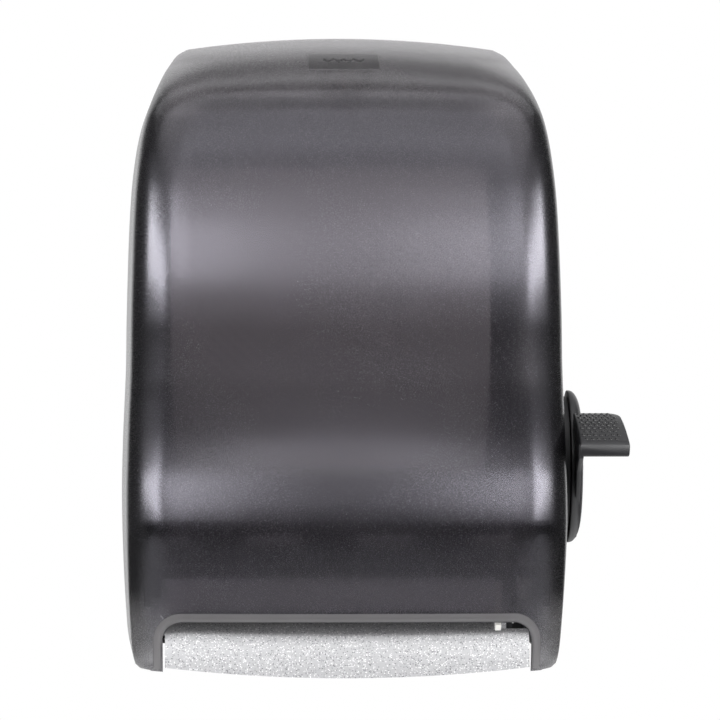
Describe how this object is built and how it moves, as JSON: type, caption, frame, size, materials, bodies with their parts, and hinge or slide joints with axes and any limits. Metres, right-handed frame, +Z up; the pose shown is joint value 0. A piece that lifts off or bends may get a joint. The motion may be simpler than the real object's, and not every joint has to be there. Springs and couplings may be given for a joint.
{
  "type": "lever paper towel dispenser",
  "caption": "Wall-mounted lever dispenser for paper roll towel, with a translucent smoke cover that swings down, a side lever, a geared feed roller and a tear bar over a speckled chute.",
  "frame": {"origin": "on the wall, in the middle of the four wall screws", "axes": "+Z up, +Y into the wall, +X to the right of a user who faces the dispenser"},
  "size_m": [0.3286, 0.2343, 0.419],
  "materials": {
    "cover_smoke": "translucent smoke grey, satin",
    "black_plastic": "matte black moulded plastic",
    "chassis_plastic": "dark grey moulded plastic",
    "granite_plastic": "light grey plastic with fine dark specks",
    "white_plastic": "natural white acetal",
    "steel": "plain steel",
    "rubber": "matte black rubber",
    "paper": "embossed white paper towel",
    "cardboard": "plain brown cardboard"
  },
  "bodies": {
    "chassis": {"back_plate": "chassis_plastic", "left_cheek": "chassis_plastic", "right_cheek": "chassis_plastic", "gear_cover": "chassis_plastic", "cheek_screws": "steel", "gear_cover_screws": "steel", "front_crossbar": "chassis_plastic", "crossbar_screws": "steel", "tear_bar": "steel", "tear_bar_screws": "steel", "paper_guide": "white_plastic", "chute": "granite_plastic", "chute_screws": "steel", "left_roll_arm": "chassis_plastic", "roll_arm_screws": "steel", "left_hub": "white_plastic", "arm_pin": "steel", "arm_spring": "steel", "feed_bushes": "white_plastic", "lever_bushes": "white_plastic", "pinch_blocks": "white_plastic", "pinch_springs": "steel", "hinge_pins": "steel", "latch_tongue": "white_plastic", "latch_screws": "steel", "lever_stop": "rubber", "lever_spring": "steel", "idler_pin": "steel"},
    "cover": {"cover_shell": "cover_smoke", "hinge_lugs": "cover_smoke", "lock_plate": "black_plastic", "keeper": "black_plastic"},
    "lever": {"lever": "black_plastic", "lever_shaft": "steel", "drive_sector": "white_plastic", "lever_screw": "steel"},
    "feed_roller": {"feed_shaft": "steel", "feed_core": "chassis_plastic", "feed_sleeves": "rubber", "pinion": "white_plastic", "feed_clip": "steel"},
    "idler": {"idler_gear": "white_plastic"},
    "pinch_roller": {"pinch_shaft": "steel", "pinch_rolls": "rubber"},
    "paper_roll": {"towel_roll": "paper", "roll_core": "cardboard"},
    "roll_arm": {"right_roll_arm": "chassis_plastic", "right_hub": "white_plastic"}
  },
  "joints": [
    {"name": "cover_hinge", "type": "hinge", "parent": "chassis", "child": "cover", "pos_m": [0, -0.022, -0.19], "axis": [1, 0, 0], "range_deg": [0, 85], "deforming": ["latch_tongue"]},
    {"name": "lever_pivot", "type": "hinge", "parent": "chassis", "child": "lever", "pos_m": [0.15, -0.1, -0.078], "axis": [1, 0, 0], "range_deg": [0, 50], "stiffness_Nm_per_rad": 0.4, "springref_deg": -28.65},
    {"name": "feed_turn", "type": "hinge", "parent": "chassis", "child": "feed_roller", "pos_m": [0, -0.15289, -0.13815], "axis": [1, 0, 0], "range_deg": [0, 200]},
    {"name": "idler_turn", "type": "hinge", "parent": "chassis", "child": "idler", "pos_m": [0.116, -0.12392, -0.14591], "axis": [1, 0, 0], "range_deg": [-175, 0]},
    {"name": "pinch_turn", "type": "hinge", "parent": "chassis", "child": "pinch_roller", "pos_m": [0, -0.17621, -0.12057], "axis": [1, 0, 0], "range_deg": [-380, 0]},
    {"name": "roll_turn", "type": "hinge", "parent": "chassis", "child": "paper_roll", "pos_m": [-0.0105, -0.1055, 0.018], "axis": [1, 0, 0], "continuous": true},
    {"name": "arm_swing", "type": "hinge", "parent": "chassis", "child": "roll_arm", "pos_m": [0.0973, -0.012, 0.018], "axis": [0, 0, 1], "range_deg": [0, 9], "stiffness_Nm_per_rad": 0.8, "springref_deg": -5.73}
  ],
  "couplings": [
    {"joint": "idler_turn", "follows": "lever_pivot", "ratio": -3.5},
    {"joint": "feed_turn", "follows": "lever_pivot", "ratio": 4},
    {"joint": "pinch_turn", "follows": "lever_pivot", "ratio": -7.6}
  ]
}
